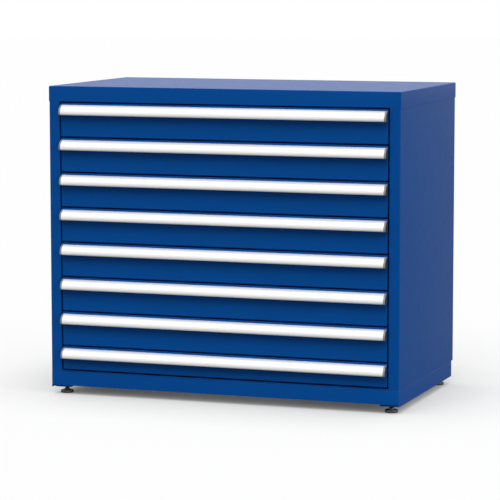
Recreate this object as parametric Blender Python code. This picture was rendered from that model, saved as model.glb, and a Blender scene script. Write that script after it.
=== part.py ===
"""A microfilm storage cabinet: eight full-width drawers in a folded steel housing.

The housing is two side panels with their jambs folded on, a back panel, a bottom pan and a
drop-on top cap. It stands on a base frame with four levelling feet. Slotted posts inside
carry three-member telescoping slides. Each drawer is a folded front, a slotted box, a hooded
pull with its end caps and a partition.

Units are metres and +Z is up. The front faces -Y, and the origin is on the floor, under the
middle of the whole cabinet. Drawers are numbered from the top, left is -X.
"""

import math

import bmesh
import bpy
from mathutils import Matrix, Vector

# Fits
CLEARANCE = 0.0003  # between pieces that touch
RUNNING_CLEARANCE = 0.0004  # between a ball row and the channel that it runs in
WELD = 0.0005  # how far a welded piece reaches into what carries it
OVERRUN = 0.003  # how far a cutter passes the face that it cuts

# Housing
BODY_WIDTH = 1.218
BODY_DEPTH = 0.670
SHEET = 0.0015
BEND_RADIUS = 0.003
JAMB_WIDTH = 0.0365
JAMB_RETURN = 0.018
REAR_FLANGE = 0.022
SHELF_FLANGE = 0.045  # top and bottom flanges of a side panel
LIP_HEIGHT = 0.051  # front, sides and rear of the top cap
LIP_RETURN = 0.014
STIFFENER_WIDTH = 0.060
STIFFENER_DEPTH = 0.022
STIFFENER_FLANGE = 0.014
BACK_RETURN = 0.012
PAN_UPSTAND = 0.012

# Base frame
BASE_HEIGHT = 0.0535
BASE_SETBACK = 0.018  # its rear lies this far in front of the body's rear
BASE_SHEET = 0.002
BASE_FLANGE = 0.026
FRONT_RAIL_LIFT = 0.0065
PLATE_SPAN = 0.066
PLATE_THICKNESS = 0.005
PLATE_CHAMFER = 0.012
BOSS_RADIUS = 0.012
BOSS_HEIGHT = 0.012

# Levelling feet
FOOT_HEIGHT = 0.024  # from the floor to the base frame
FOOT_FROM_SIDE = 0.037
FOOT_FROM_FRONT = 0.0425
FOOT_FROM_REAR = 0.044
PAD_RADIUS = 0.021
PAD_EDGE = 0.009
PAD_CHAMFER = 0.001
DOME_RADIUS = 0.0085
DOME_HEIGHT = 0.0135
STEM_RADIUS = 0.006
STEM_RISE = 0.032  # above the underside of the base frame

# Drawer fronts
TALL_DRAWERS = 7
FRONT_HEIGHT = 0.112
LOW_FRONT_HEIGHT = 0.0776
REVEAL = 0.005  # gap above and below a front
SIDE_REVEAL = 0.005
FRONT_RECESS = 0.0015  # behind the jambs
FRONT_DEPTH = 0.018
FRONT_LIP = 0.014
FRONT_BEND = 0.002

# Pulls
PULL_DROP = 0.0055  # below the top of the front
PULL_REACH = 0.025
HOOD_DROP = 0.029
HOOD_WALL = 0.002
ROLL_RADIUS = 0.005
LEG_HEIGHT = 0.024
END_CAP = 0.003
END_CAP_RIM = 0.0006  # how far an end cap stands proud of the hood
END_CAP_DROP = 0.036
PULL_END_GAP = 0.0005

# Slides
SLIDE_LENGTH = 0.600
SLIDE_SHEET = 0.0015
SLIDE_HEIGHT = 0.046
SLIDE_WIDTH = 0.013  # from the fixed channel's web to the drawer's side
WEB_GAP = 0.0005
RACE_GAP = 0.002  # between nested flanges, for the balls
FLANGE_GAP = 0.001
BALL_ROW_START = 0.005  # measured from the fixed channel's web
BALL_ROW_WIDTH = 0.004
BALL_ROW_SLOPE = 0.001
JAMB_CLEARANCE = 0.001  # beside the jamb, as the slides run out
SLIDE_RISE = 0.003  # fixed channel above the underside of the drawer box

# Posts
POST_WIDTH = 0.040
POST_SHEET = 0.002
POST_SLOT_WIDTH = 0.012
POST_SLOT_HEIGHT = 0.024

# Drawer boxes
BOX_SHEET = 0.0015
BOX_LIFT = 0.008  # above the bottom of the front
BOX_DROP = 0.008  # below the top of the front
ROW_PITCH = 0.1016  # one row of film boxes
NOTCH_WIDTH = 0.003
NOTCH_DEPTH = 0.020
PARTITION_SHEET = 0.0012
PARTITION_DROP = 0.002  # below the top of the box

# Round work
BEND_STEPS = 3
HOOD_STEPS = 7
ROLL_STEPS = 4
FOOT_STEPS = 20
SMOOTH_ANGLE = math.radians(35)

# Finishes: colour, roughness, metallic
FINISHES = {
    "blue_powder_coat": ((0.009, 0.060, 0.245, 1.0), 0.45, 0.0),
    "satin_aluminium": ((0.86, 0.86, 0.87, 1.0), 0.32, 1.0),
    "zinc_plated_steel": ((0.62, 0.63, 0.65, 1.0), 0.38, 1.0),
    "black_levelling_foot": ((0.022, 0.022, 0.024, 1.0), 0.55, 0.0),
}

# Levels and planes that follow from the sizes
HALF_WIDTH = BODY_WIDTH / 2
HALF_OPENING = HALF_WIDTH - JAMB_WIDTH
CAP_WALL = CLEARANCE + SHEET
TOTAL_DEPTH = PULL_REACH - FRONT_RECESS + BODY_DEPTH + CAP_WALL
Y_FRONT = PULL_REACH - FRONT_RECESS - TOTAL_DEPTH / 2
Y_REAR = Y_FRONT + BODY_DEPTH
Y_FACE = Y_FRONT + FRONT_RECESS
Y_INSIDE = Y_FRONT + max(JAMB_RETURN, FRONT_RECESS + FRONT_DEPTH) + CLEARANCE
Y_BACK = Y_REAR - SHEET - CLEARANCE
Y_BACK_RETURN = Y_BACK - BACK_RETURN
Z_BASE = FOOT_HEIGHT
Z_BODY = Z_BASE + BASE_HEIGHT
Z_FLOOR = Z_BODY + CLEARANCE
Z_SILL = Z_FLOOR + SHEET + CLEARANCE + SHEET
Z_FIRST_FRONT = Z_SILL + REVEAL
Z_SECOND_FRONT = Z_FIRST_FRONT + LOW_FRONT_HEIGHT + REVEAL
Z_LIP = Z_SECOND_FRONT + TALL_DRAWERS * (FRONT_HEIGHT + REVEAL)
Z_TOP = Z_LIP + LIP_HEIGHT
Z_SIDE_TOP = Z_TOP - SHEET - CLEARANCE
RUNNER_X = HALF_OPENING - JAMB_CLEARANCE + SLIDE_SHEET + WEB_GAP
HALF_BOX = RUNNER_X - SLIDE_WIDTH
HALF_FRONT = HALF_OPENING - SIDE_REVEAL
BOX_FRONT = FRONT_DEPTH + CLEARANCE  # behind a drawer's face
SLIDE_CENTRE = BOX_LIFT + SLIDE_RISE + SLIDE_HEIGHT / 2
BOX_DEPTH = SLIDE_LENGTH  # a slide member runs along the whole of each box side


def drawer_levels():
    """The height of each drawer front and of its lower edge, from the top drawer down."""
    levels = []
    for above in reversed(range(TALL_DRAWERS)):
        levels.append((FRONT_HEIGHT, Z_SECOND_FRONT + above * (FRONT_HEIGHT + REVEAL)))
    levels.append((LOW_FRONT_HEIGHT, Z_FIRST_FRONT))
    return levels


def clear_scene():
    for old in list(bpy.data.objects):
        bpy.data.objects.remove(old, do_unlink=True)


def finish(name):
    """The Principled material of that name, made once."""
    found = bpy.data.materials.get(name)
    if found:
        return found
    colour, roughness, metallic = FINISHES[name]
    made = bpy.data.materials.new(name)
    made.use_nodes = True
    shader = made.node_tree.nodes["Principled BSDF"]
    shader.inputs["Base Color"].default_value = colour
    shader.inputs["Roughness"].default_value = roughness
    shader.inputs["Metallic"].default_value = metallic
    made.diffuse_color = colour
    return made


def empty(name, place):
    """A parent for the pieces that move together, on their joint's axis."""
    made = bpy.data.objects.new(name, None)
    made.location = place
    bpy.context.scene.collection.objects.link(made)
    return made


def add(name, mesh, finish_name=None, parent=None, place=(0, 0, 0)):
    """An object of that mesh in the scene."""
    made = bpy.data.objects.new(name, mesh)
    bpy.context.scene.collection.objects.link(made)
    made.parent = parent
    made.location = place
    if finish_name and not mesh.materials:
        mesh.materials.append(finish(finish_name))
    return made


def mesh_of(bm, name="shape"):
    """The bmesh as a mesh with its faces outwards, round stretches smooth."""
    bmesh.ops.recalc_face_normals(bm, faces=bm.faces)
    mesh = bpy.data.meshes.new(name)
    bm.to_mesh(mesh)
    bm.free()
    mesh.shade_smooth()
    mesh.set_sharp_from_angle(angle=SMOOTH_ANGLE)
    return mesh


def prism(outline, axis, start, end):
    """A mesh: a closed outline, extruded along one axis from start to end.

    The outline's points are (y, z) along X, (x, z) along Y and (x, y) along Z.
    """
    order = {"X": (2, 0, 1), "Y": (0, 2, 1), "Z": (0, 1, 2)}[axis]
    bm = bmesh.new()
    ring = []
    for a, b in outline:
        point = (a, b, start)
        ring.append(bm.verts.new([point[i] for i in order]))
    face = bm.faces.new(ring)
    grown = bmesh.ops.extrude_face_region(bm, geom=[face])
    far = [item for item in grown["geom"] if isinstance(item, bmesh.types.BMVert)]
    step = (0, 0, end - start)
    bmesh.ops.translate(bm, verts=far, vec=[step[i] for i in order])
    return mesh_of(bm)


def block(low, high):
    """A mesh: the box between two corners."""
    outline = [(low[0], low[1]), (high[0], low[1]), (high[0], high[1]), (low[0], high[1])]
    return prism(outline, "Z", low[2], high[2])


def tray(width, depth, height, wall, radius):
    """A mesh: an open tray, floor down, centred over the origin.

    A box has its standing and lower edges rounded, then its top face is inset by the wall
    and pushed down to leave a floor of the same thickness.
    """
    bm = bmesh.new()
    size = Matrix.Diagonal((width, depth, height, 1))
    rise = Matrix.Translation((0, 0, height / 2))
    bmesh.ops.create_cube(bm, size=1, matrix=rise @ size)
    if radius > 0:
        rim = [edge for edge in bm.edges if min(v.co.z for v in edge.verts) < height / 2]
        bmesh.ops.bevel(
            bm, geom=rim, offset=radius, segments=BEND_STEPS, profile=0.5, affect="EDGES"
        )
    bm.faces.ensure_lookup_table()
    top = max(bm.faces, key=lambda face: face.calc_center_median().z)
    bmesh.ops.inset_region(bm, faces=[top], thickness=wall, use_even_offset=True)
    grown = bmesh.ops.extrude_face_region(bm, geom=[top])
    pushed = [item for item in grown["geom"] if isinstance(item, bmesh.types.BMVert)]
    bmesh.ops.translate(bm, verts=pushed, vec=(0, 0, wall - height))
    bmesh.ops.delete(bm, geom=[top], context="FACES_ONLY")
    return mesh_of(bm)


def turned(profile, steps):
    """A mesh: a profile of (radius, z) points, from axis to axis, spun round Z."""
    bm = bmesh.new()
    points = [bm.verts.new((radius, 0, z)) for radius, z in profile]
    edges = [bm.edges.new(pair) for pair in zip(points, points[1:])]
    bmesh.ops.spin(
        bm, geom=points + edges, cent=(0, 0, 0), axis=(0, 0, 1), angle=math.tau, steps=steps
    )
    bmesh.ops.remove_doubles(bm, verts=bm.verts, dist=CLEARANCE / steps)
    return mesh_of(bm)


def bent(path, radius, steps=BEND_STEPS):
    """An open path with each inner corner turned to an arc."""
    points = [Vector(path[0])]
    for before, corner, after in zip(path, path[1:], path[2:]):
        corner = Vector(corner)
        back = (Vector(before) - corner).normalized()
        ahead = (Vector(after) - corner).normalized()
        half = back.angle(ahead) / 2
        run = radius / math.tan(half)
        centre = corner + (back + ahead).normalized() * (radius / math.sin(half))
        first = corner + back * run - centre
        last = corner + ahead * run - centre
        turn = first.angle_signed(last)
        for i in range(steps + 1):
            points.append(centre + Matrix.Rotation(-turn * i / steps, 2) @ first)
    points.append(Vector(path[-1]))
    return points


def sheet(path, thickness):
    """The outline of a sheet whose face follows a path and whose metal lies to the right."""
    points = [Vector(point) for point in path]
    sides = []
    for start, end in zip(points, points[1:]):
        along = (end - start).normalized()
        sides.append(Vector((along.y, -along.x)))
    before = [sides[0]] + sides
    after = sides + [sides[-1]]
    inner = []
    for point, one, two in zip(points, before, after):
        inner.append(point + (one + two) * (thickness / (1 + one.dot(two))))
    return points + inner[::-1]


def mirrored(outline, side):
    """The outline for the right-hand side, or its mirror image for the left."""
    return [(side * a, b) for a, b in outline]


def combine(base, others, operation):
    """The mesh of base with others joined to it or cut from it. The others are used up."""
    target = add("target", base)
    tools = [add("tool", mesh) for mesh in others]
    for tool in tools:
        step = target.modifiers.new(operation, "BOOLEAN")
        step.operation = operation
        step.solver = "EXACT"
        step.object = tool
    graph = bpy.context.evaluated_depsgraph_get()
    made = bpy.data.meshes.new_from_object(target.evaluated_get(graph))
    for used in [target] + tools:
        mesh = used.data
        bpy.data.objects.remove(used, do_unlink=True)
        bpy.data.meshes.remove(mesh)
    made.shade_smooth()
    made.set_sharp_from_angle(angle=SMOOTH_ANGLE)
    return made


def joined(base, *others):
    return combine(base, others, "UNION")


def cut(base, *others):
    return combine(base, others, "DIFFERENCE")


def moved(mesh, place=(0, 0, 0), turn=Matrix.Identity(4)):
    """The mesh, turned and then put in its place."""
    mesh.transform(Matrix.Translation(place) @ turn)
    return mesh


def add_top_cap():
    """A lid with a lip all round, a return under its front lip and one stiffener."""
    half = HALF_WIDTH + CAP_WALL
    rear = Y_REAR + CAP_WALL
    flip = Matrix.Rotation(math.pi, 4, "X")
    lid = tray(2 * half, rear - Y_FRONT, LIP_HEIGHT, SHEET, BEND_RADIUS)
    lid = moved(lid, (0, (Y_FRONT + rear) / 2, Z_TOP), flip)
    welded = half - SHEET + WELD
    lip = block(
        (-welded, Y_FRONT + SHEET - WELD, Z_LIP),
        (welded, Y_FRONT + LIP_RETURN, Z_LIP + SHEET),
    )
    middle = (Y_FRONT + rear) / 2
    crown = Z_TOP - SHEET
    end = HALF_WIDTH - SHELF_FLANGE - BEND_RADIUS
    wide = STIFFENER_WIDTH / 2
    hat = sheet(
        [
            (middle + wide + STIFFENER_FLANGE, crown - SHEET + WELD),
            (middle + wide, crown - SHEET + WELD),
            (middle + wide, crown - STIFFENER_DEPTH),
            (middle - wide, crown - STIFFENER_DEPTH),
            (middle - wide, crown - SHEET + WELD),
            (middle - wide - STIFFENER_FLANGE, crown - SHEET + WELD),
        ],
        SHEET,
    )
    add("top_cap", joined(lid, lip, prism(hat, "X", -end, end)), "blue_powder_coat")


def add_side_panel(name, side):
    """A sheet folded round the front jamb and the rear edge, with top and bottom flanges."""
    fold = bent(
        [
            (HALF_OPENING, Y_FRONT + JAMB_RETURN),
            (HALF_OPENING, Y_FRONT),
            (HALF_WIDTH, Y_FRONT),
            (HALF_WIDTH, Y_REAR),
            (HALF_WIDTH - REAR_FLANGE, Y_REAR),
        ],
        BEND_RADIUS,
    )
    outline = sheet(fold, -SHEET)
    wall = prism(mirrored(outline, side), "Z", Z_FLOOR, Z_SIDE_TOP)
    inner = side * (HALF_WIDTH - SHELF_FLANGE)
    outer = side * (HALF_WIDTH - SHEET + WELD)
    flange_rear = Y_BACK_RETURN - CLEARANCE
    low, high = sorted((inner, outer))
    foot = block(
        (low, Y_FRONT + SHEET + CLEARANCE, Z_FLOOR), (high, flange_rear, Z_FLOOR + SHEET)
    )
    head = block((low, Y_INSIDE, Z_SIDE_TOP - SHEET), (high, flange_rear, Z_SIDE_TOP))
    low, high = sorted((inner, side * (HALF_WIDTH + OVERRUN)))
    notch = block(
        (low, Y_FRONT - OVERRUN, Z_LIP - CLEARANCE), (high, Y_INSIDE, Z_TOP + OVERRUN)
    )
    add(name, cut(joined(wall, foot, head), notch), "blue_powder_coat")


def add_back_panel():
    """A shallow pan, its flat side to the rear, held inside the side panels' rear flanges."""
    wide = 2 * (HALF_WIDTH - SHEET - CLEARANCE)
    tall = Z_SIDE_TOP - Z_FLOOR
    stand = Matrix.Rotation(math.pi / 2, 4, "X")
    pan = tray(wide, tall, BACK_RETURN, SHEET, BEND_RADIUS)
    pan = moved(pan, (0, Y_BACK, (Z_FLOOR + Z_SIDE_TOP) / 2), stand)
    add("back_panel", pan, "blue_powder_coat")


def add_bottom_pan():
    """The housing's floor: folded down to the base in front and up along the back panel."""
    rear = Y_BACK_RETURN - CLEARANCE - SHEET
    path = [(Y_FRONT, Z_FLOOR), (Y_FRONT, Z_SILL), (rear, Z_SILL), (rear, Z_SILL + PAN_UPSTAND)]
    half = HALF_OPENING - CLEARANCE
    add("bottom_pan", prism(sheet(path, SHEET), "X", -half, half), "blue_powder_coat")


def foot_places():
    """(name, x, y) of the four levelling feet."""
    x = HALF_WIDTH - FOOT_FROM_SIDE
    front = Y_FRONT + FOOT_FROM_FRONT
    rear = Y_REAR - BASE_SETBACK - FOOT_FROM_REAR
    return [
        ("front_left_foot", -x, front),
        ("front_right_foot", x, front),
        ("rear_left_foot", -x, rear),
        ("rear_right_foot", x, rear),
    ]


def corner_plate(x, y, toward_rear):
    """A gusset with its outer corner cut off, welded in a corner of the base frame."""
    side = math.copysign(1, x)
    outer = side * (HALF_WIDTH - BASE_SHEET + WELD)
    inner = side * (HALF_WIDTH - PLATE_SPAN)
    if toward_rear:
        edge = Y_REAR - BASE_SETBACK - BASE_SHEET + WELD
        depth = -PLATE_SPAN
    else:
        edge = Y_FRONT + BASE_SHEET
        depth = PLATE_SPAN
    chamfer = math.copysign(PLATE_CHAMFER, depth)
    outline = [
        (outer - side * PLATE_CHAMFER, edge),
        (outer, edge + chamfer),
        (outer, edge + depth),
        (inner, edge + depth),
        (inner, edge),
    ]
    plate = prism(outline, "Z", Z_BASE, Z_BASE + PLATE_THICKNESS)
    top = Z_BASE + PLATE_THICKNESS + BOSS_HEIGHT
    boss = turned(
        [
            (0, Z_BASE + PLATE_THICKNESS - WELD),
            (BOSS_RADIUS, Z_BASE + PLATE_THICKNESS - WELD),
            (BOSS_RADIUS, top),
            (0, top),
        ],
        FOOT_STEPS,
    )
    return plate, moved(boss, (x, y, 0))


def add_base_frame():
    """Four rails with a flange on top, the front one lifted, and a plate at each corner."""
    rear = Y_REAR - BASE_SETBACK
    flip = Matrix.Rotation(math.pi, 4, "X")
    rails = tray(BODY_WIDTH, rear - Y_FRONT, BASE_HEIGHT, BASE_SHEET, BEND_RADIUS)
    rails = moved(rails, (0, (Y_FRONT + rear) / 2, Z_BODY), flip)
    window = block(
        (BASE_FLANGE - HALF_WIDTH, Y_FRONT + BASE_FLANGE, Z_BASE),
        (HALF_WIDTH - BASE_FLANGE, rear - BASE_FLANGE, Z_BODY + OVERRUN),
    )
    inner = HALF_WIDTH - BASE_SHEET
    lift = block(
        (-inner, Y_FRONT - OVERRUN, Z_BASE - OVERRUN),
        (inner, Y_FRONT + BASE_SHEET + OVERRUN, Z_BASE + FRONT_RAIL_LIFT),
    )
    frame = cut(rails, window, lift)
    bores = []
    for name, x, y in foot_places():
        frame = joined(frame, *corner_plate(x, y, name.startswith("rear")))
        radius = STEM_RADIUS + CLEARANCE
        low = Z_BASE - OVERRUN
        high = Z_BASE + PLATE_THICKNESS + BOSS_HEIGHT + OVERRUN
        bore = turned([(0, low), (radius, low), (radius, high), (0, high)], FOOT_STEPS)
        bores.append(moved(bore, (x, y, 0)))
    add("base_frame", cut(frame, *bores), "blue_powder_coat")


def add_feet():
    """Turned feet: a flat pad with a cone up to the screwed stem, in the corner plate."""
    profile = [
        (0, 0),
        (PAD_RADIUS - PAD_CHAMFER, 0),
        (PAD_RADIUS, PAD_CHAMFER),
        (PAD_RADIUS, PAD_EDGE - PAD_CHAMFER),
        (PAD_RADIUS - PAD_CHAMFER, PAD_EDGE),
        (DOME_RADIUS, DOME_HEIGHT - PAD_CHAMFER),
        (DOME_RADIUS - PAD_CHAMFER, DOME_HEIGHT),
        (STEM_RADIUS, DOME_HEIGHT),
        (STEM_RADIUS, FOOT_HEIGHT + STEM_RISE - PAD_CHAMFER),
        (STEM_RADIUS - PAD_CHAMFER, FOOT_HEIGHT + STEM_RISE),
        (0, FOOT_HEIGHT + STEM_RISE),
    ]
    mesh = turned(profile, FOOT_STEPS)
    for name, x, y in foot_places():
        add(name, mesh, "black_levelling_foot", place=(x, y, 0))


def slide_outline(half_height, back, lips):
    """A channel in (inward, up) from the fixed channel's web: its web at back, open at lips."""
    path = [(lips, half_height), (back, half_height), (back, -half_height), (lips, -half_height)]
    thickness = SLIDE_SHEET if back > lips else -SLIDE_SHEET
    return sheet(path, thickness)


def fixed_outline():
    return slide_outline(SLIDE_HEIGHT / 2, 0, SLIDE_WIDTH - FLANGE_GAP)


def drawer_member_outline():
    """The innermost member, its web sunk into the drawer's side by the weld."""
    half = SLIDE_HEIGHT / 2 - 2 * (SLIDE_SHEET + RACE_GAP)
    lips = 2 * SLIDE_SHEET + WEB_GAP + FLANGE_GAP
    return slide_outline(half, SLIDE_WIDTH + WELD, lips)


def middle_outline():
    """The middle member: a channel with a ball row above and below each of its flanges."""
    outer = SLIDE_HEIGHT / 2 - SLIDE_SHEET - RACE_GAP
    inner = outer - SLIDE_SHEET
    row = RACE_GAP - RUNNING_CLEARANCE
    back = SLIDE_SHEET + WEB_GAP
    lips = SLIDE_WIDTH - FLANGE_GAP
    start = BALL_ROW_START
    end = start + BALL_ROW_WIDTH
    slope = BALL_ROW_SLOPE
    upper = [
        (back, outer),
        (start, outer),
        (start + slope, outer + row),
        (end - slope, outer + row),
        (end, outer),
        (lips, outer),
        (lips, inner),
        (end, inner),
        (end - slope, inner - row),
        (start + slope, inner - row),
        (start, inner),
        (back + SLIDE_SHEET, inner),
    ]
    lower = [(u, -v) for u, v in reversed(upper)]
    return upper + lower


def runner(outline, side, level, front, rear):
    """A slide member's outline, set on its side of the cabinet and extruded along Y."""
    placed = [(side * (RUNNER_X - u), level + v) for u, v in outline]
    return prism(placed, "Y", front, rear)


def add_runner_frame(name, side):
    """Two slotted posts and the fixed channels of the slides, one for each drawer."""
    rear = Y_INSIDE + SLIDE_LENGTH
    low = Z_FLOOR + SHEET + CLEARANCE
    high = Z_SIDE_TOP - SHEET - CLEARANCE
    web = RUNNER_X - WELD
    outer = HALF_WIDTH - SHEET - CLEARANCE
    posts = []
    for front in (Y_INSIDE, rear - POST_WIDTH):
        path = [
            (outer, front + POST_WIDTH),
            (web, front + POST_WIDTH),
            (web, front),
            (outer, front),
        ]
        post = prism(mirrored(sheet(path, -POST_SHEET), side), "Z", low, high)
        slots = []
        middle = front + POST_WIDTH / 2
        for height, bottom in drawer_levels():
            centre = bottom + (SLIDE_CENTRE + SLIDE_HEIGHT / 2 + height + REVEAL) / 2
            sides = sorted((side * (web - OVERRUN), side * (web + POST_SHEET + OVERRUN)))
            slots.append(
                block(
                    (sides[0], middle - POST_SLOT_WIDTH / 2, centre - POST_SLOT_HEIGHT / 2),
                    (sides[1], middle + POST_SLOT_WIDTH / 2, centre + POST_SLOT_HEIGHT / 2),
                )
            )
        posts.append(cut(post, *slots))
    channels = []
    for _, bottom in drawer_levels():
        level = bottom + SLIDE_CENTRE
        channels.append(runner(fixed_outline(), side, level, Y_INSIDE, rear))
    add(name, joined(posts[0], *channels, posts[1]), "zinc_plated_steel")


def front_mesh(height):
    """A folded front: the face, top and bottom turned back and in, and both ends closed."""
    path = [
        (FRONT_DEPTH, FRONT_LIP),
        (FRONT_DEPTH, 0),
        (0, 0),
        (0, height),
        (FRONT_DEPTH, height),
        (FRONT_DEPTH, height - FRONT_LIP),
    ]
    section = sheet(bent(path, FRONT_BEND), SHEET)
    face = prism(section, "X", -HALF_FRONT, HALF_FRONT)
    ends = []
    sunk = SHEET / 2
    for side in (-1, 1):
        low, high = sorted((side * HALF_FRONT, side * (HALF_FRONT - SHEET)))
        ends.append(block((low, sunk, sunk), (high, FRONT_DEPTH - sunk, height - sunk)))
    return joined(face, *ends)


def box_mesh(height):
    """A drawer box: a pan notched for partitions, with a slide member on either side."""
    tall = height - BOX_LIFT - BOX_DROP
    pan = tray(2 * HALF_BOX, BOX_DEPTH, tall, BOX_SHEET, 0)
    pan = moved(pan, (0, BOX_FRONT + BOX_DEPTH / 2, BOX_LIFT))
    rows = int((HALF_BOX - NOTCH_WIDTH) / ROW_PITCH)
    top = BOX_LIFT + tall
    notches = []
    for row in range(-rows, rows + 1):
        x = row * ROW_PITCH
        notches.append(
            block(
                (x - NOTCH_WIDTH / 2, BOX_FRONT - OVERRUN, top - NOTCH_DEPTH),
                (x + NOTCH_WIDTH / 2, BOX_FRONT + BOX_DEPTH + OVERRUN, top + OVERRUN),
            )
        )
    pan = cut(pan, *notches)
    members = []
    for side in (-1, 1):
        members.append(
            runner(drawer_member_outline(), side, SLIDE_CENTRE, BOX_FRONT, BOX_FRONT + BOX_DEPTH)
        )
    return joined(pan, *members)


def hood_path(rim):
    """The pull's outer face in (y, z) below its top edge: an arc, then a roll at its lip.

    A rim moves the whole line outwards, for the end caps that stand proud of the hood.
    """
    run = PULL_REACH - END_CAP_RIM - CLEARANCE + rim
    drop = HOOD_DROP + rim
    roll = ROLL_RADIUS + rim
    radius = (run * run + drop * drop) / (2 * run)
    nose = -CLEARANCE - run
    start = math.atan2(drop, run - radius)
    points = []
    for i in range(HOOD_STEPS + 1):
        angle = start + (math.pi - start) * i / HOOD_STEPS
        y = nose + radius * (1 + math.cos(angle))
        points.append((y, radius * math.sin(angle) - HOOD_DROP))
    for i in range(1, ROLL_STEPS + 1):
        angle = math.pi + math.pi / 2 * i / ROLL_STEPS
        points.append((nose + roll * (1 + math.cos(angle)), roll * math.sin(angle) - HOOD_DROP))
    return points


def pull_mesh():
    """A hooded pull: a leg against the front, the hood with its rolled lip, and end caps."""
    back = -CLEARANCE
    half = HALF_FRONT - PULL_END_GAP
    hood = [(back, -LEG_HEIGHT)] + hood_path(0)
    bar = prism(sheet(hood, -HOOD_WALL), "X", END_CAP - WELD - half, half - END_CAP + WELD)
    plate = hood_path(END_CAP_RIM) + [(back, -END_CAP_DROP)]
    left = prism(plate, "X", -half, END_CAP - half)
    right = prism(plate, "X", half - END_CAP, half)
    return joined(bar, left, right)


def partition_mesh(height):
    """A plate that stands on the box's floor, with ears in the notches of both walls."""
    tall = height - BOX_LIFT - BOX_DROP
    top = BOX_LIFT + tall - PARTITION_DROP
    shoulder = BOX_LIFT + tall - NOTCH_DEPTH + CLEARANCE
    low = BOX_LIFT + BOX_SHEET + CLEARANCE
    front = BOX_FRONT
    rear = BOX_FRONT + BOX_DEPTH
    inside = BOX_SHEET + CLEARANCE
    outline = [
        (front + inside, low),
        (rear - inside, low),
        (rear - inside, shoulder),
        (rear, shoulder),
        (rear, top),
        (front, top),
        (front, shoulder),
        (front + inside, shoulder),
    ]
    return prism(outline, "X", -PARTITION_SHEET / 2, PARTITION_SHEET / 2)


def drawer_meshes(height):
    """The meshes that all drawers of one height share."""
    slides = {}
    for name, side in (("left_slide", -1), ("right_slide", 1)):
        front = Y_INSIDE - Y_FACE
        slides[name] = runner(middle_outline(), side, SLIDE_CENTRE, front, front + SLIDE_LENGTH)
    return {
        "front": front_mesh(height),
        "box": box_mesh(height),
        "pull": moved(pull_mesh(), (0, 0, height - PULL_DROP)),
        "partition": partition_mesh(height),
        **slides,
    }


def add_drawers():
    """Eight drawers, each with an empty at its face for the drawer and one for its slides."""
    kinds = {height: drawer_meshes(height) for height in (FRONT_HEIGHT, LOW_FRONT_HEIGHT)}
    finishes = {
        "front": "blue_powder_coat",
        "box": "blue_powder_coat",
        "pull": "satin_aluminium",
        "partition": "zinc_plated_steel",
        "left_slide": "zinc_plated_steel",
        "right_slide": "zinc_plated_steel",
    }
    for number, (height, bottom) in enumerate(drawer_levels(), start=1):
        drawer = empty(f"drawer_{number}", (0, Y_FACE, bottom))
        carriage = empty(f"drawer_{number}_slides", (0, Y_FACE, bottom))
        for piece, mesh in kinds[height].items():
            parent = carriage if piece.endswith("slide") else drawer
            add(f"drawer_{number}_{piece}", mesh, finishes[piece], parent)


def main():
    clear_scene()
    add_top_cap()
    add_side_panel("left_side_panel", -1)
    add_side_panel("right_side_panel", 1)
    add_back_panel()
    add_bottom_pan()
    add_base_frame()
    add_feet()
    add_runner_frame("left_runner_frame", -1)
    add_runner_frame("right_runner_frame", 1)
    add_drawers()


main()
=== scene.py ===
"""The looks of a microfilm storage cabinet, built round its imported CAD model.

It runs as a script in Blender 4.5. It loads the CAD frame, makes a detailed piece wherever the
real cabinet shows more than its solid does, gives the other solids their finishes and sets up
the studio.

Units are metres and +Z is up. The front faces -Y, left is -X, and the drawers are numbered from
the top.
"""

import math

import bmesh
import bpy
import numpy as np
from bpy.props import FloatProperty, FloatVectorProperty, IntProperty, PointerProperty
from mathutils import Matrix, Vector


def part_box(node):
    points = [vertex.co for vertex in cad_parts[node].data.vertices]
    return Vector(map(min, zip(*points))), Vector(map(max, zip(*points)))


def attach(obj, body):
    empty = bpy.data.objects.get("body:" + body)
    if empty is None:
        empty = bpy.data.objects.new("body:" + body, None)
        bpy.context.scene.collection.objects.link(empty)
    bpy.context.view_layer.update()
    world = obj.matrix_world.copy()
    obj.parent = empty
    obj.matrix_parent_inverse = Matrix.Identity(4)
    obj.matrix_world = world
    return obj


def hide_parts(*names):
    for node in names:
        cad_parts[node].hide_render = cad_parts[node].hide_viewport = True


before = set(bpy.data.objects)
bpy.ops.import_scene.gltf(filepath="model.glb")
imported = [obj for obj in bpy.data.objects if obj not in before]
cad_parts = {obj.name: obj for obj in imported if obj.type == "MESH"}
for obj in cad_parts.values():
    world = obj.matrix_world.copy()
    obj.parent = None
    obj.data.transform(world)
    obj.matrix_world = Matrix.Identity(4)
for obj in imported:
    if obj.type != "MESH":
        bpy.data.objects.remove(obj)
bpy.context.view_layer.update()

bl_info = {
    "name": "Microfilm Storage Cabinet",
    "version": (1, 0, 0),
    "blender": (4, 5, 0),
    "location": "3D View > Sidebar > Cabinet",
    "description": "Builds the detailed pieces of a steel cabinet with eight drawers",
    "category": "Add Mesh",
}

DRAWERS = range(1, 1 + sum(name.endswith("_partition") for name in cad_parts))
FEET = ("front_left_foot", "front_right_foot", "rear_left_foot", "rear_right_foot")
SIDES = (("left", -1), ("right", 1))
NUT_SIDES = 6
SMOOTH_ANGLE = math.radians(32)

# Faces round a fold that is seen at its end only, and round one that hardly shows
FOLD_STEPS = 5
HIDDEN_FOLD_STEPS = 4

# Depth of the finest relief in a finish, and of the powder coat's orange peel
GRAIN_DEPTH = 0.0002
PEEL_DEPTH = 0.0004

# The floor is a disc of rings, a little below the feet
FLOOR_RADII = (0.5, 40)
FLOOR_RINGS = 12
FLOOR_SIDES = 64
FLOOR_LEVEL = -0.0004

# The sensor that the lens is given for, in millimetres, and how far the camera sees
SENSOR_WIDTH = 36
SIGHT = 100

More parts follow.
